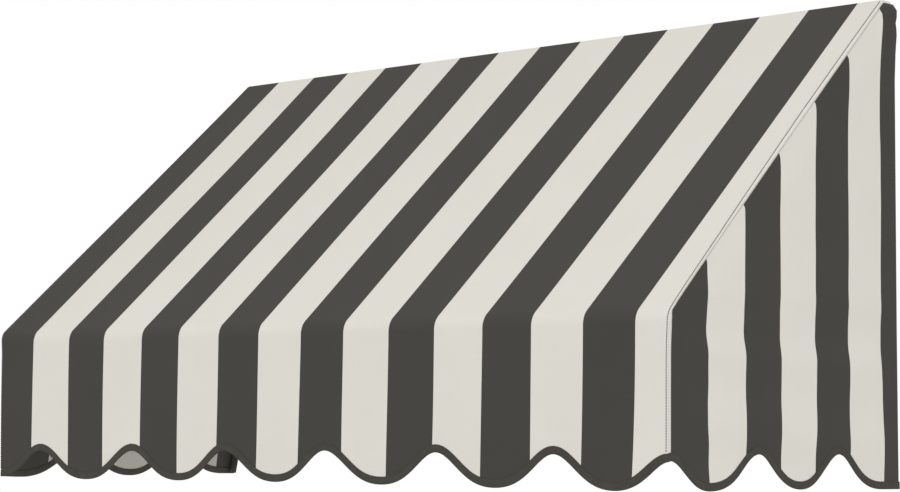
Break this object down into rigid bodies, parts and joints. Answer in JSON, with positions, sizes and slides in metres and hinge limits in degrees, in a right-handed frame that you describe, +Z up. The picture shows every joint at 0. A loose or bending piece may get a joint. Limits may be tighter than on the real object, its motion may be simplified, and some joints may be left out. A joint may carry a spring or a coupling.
{
  "type": "window awning",
  "caption": "Fixed window awning: striped cloth canopy with scalloped, bound valance and side panels, stretched over a rigid wall-mounted tube frame.",
  "frame": {"origin": "centre of the wall face of the middle head angle, on the wall plane", "axes": "+Z up, +X along the wall to the right as seen from the front, -Y out from the wall; +Y points into the wall"},
  "size_m": [1.4746, 0.6483, 0.786],
  "materials": {
    "canopy_cloth": "woven awning canvas, charcoal and pale grey stripes",
    "binding_tape": "woven charcoal binding tape",
    "frame_tube": "mill-finish tube",
    "plates": "grey powder coat",
    "strips": "flat bar",
    "plugs": "moulded, matt",
    "screws": "zinc plated"
  },
  "bodies": {
    "root": {"canopy_cover": "canopy_cloth", "clamp_strip_head": "strips", "clamp_strip_left": "strips", "clamp_strip_right": "strips", "cleat_center": "plates", "foot_plug_left": "plugs", "foot_plug_right": "plugs", "front_bar": "frame_tube", "front_plug_left": "plugs", "front_plug_right": "plugs", "gusset_low_left": "plates", "gusset_low_right": "plates", "gusset_top_left": "plates", "gusset_top_right": "plates", "head_bar": "frame_tube", "head_plug_left": "plugs", "head_plug_right": "plugs", "rafter_center": "frame_tube", "rafter_left": "frame_tube", "rafter_right": "frame_tube", "scallop_binding": "binding_tape", "screw_angle_head_center": "screws", "screw_angle_head_left": "screws", "screw_angle_head_right": "screws", "screw_angle_low_left": "screws", "screw_angle_low_right": "screws", "screw_cleat_head": "screws", "screw_cleat_rafter": "screws", "screw_gusset_low_arm_left": "screws", "screw_gusset_low_arm_right": "screws", "screw_gusset_low_upright_left": "screws", "screw_gusset_low_upright_right": "screws", "screw_gusset_top_head_left": "screws", "screw_gusset_top_head_right": "screws", "screw_gusset_top_rafter_left": "screws", "screw_gusset_top_rafter_right": "screws", "screw_gusset_top_upright_left": "screws", "screw_gusset_top_upright_right": "screws", "screw_strip_head_1": "screws", "screw_strip_head_2": "screws", "screw_strip_head_3": "screws", "screw_strip_head_4": "screws", "screw_strip_side_1_left": "screws", "screw_strip_side_1_right": "screws", "screw_strip_side_2_left": "screws", "screw_strip_side_2_right": "screws", "side_arm_left": "frame_tube", "side_arm_right": "frame_tube", "side_panel_left": "canopy_cloth", "side_panel_right": "canopy_cloth", "upright_left": "frame_tube", "upright_right": "frame_tube", "wall_angle_head_center": "plates", "wall_angle_head_left": "plates", "wall_angle_head_right": "plates", "wall_angle_low_left": "plates", "wall_angle_low_right": "plates"}
  },
  "joints": []
}
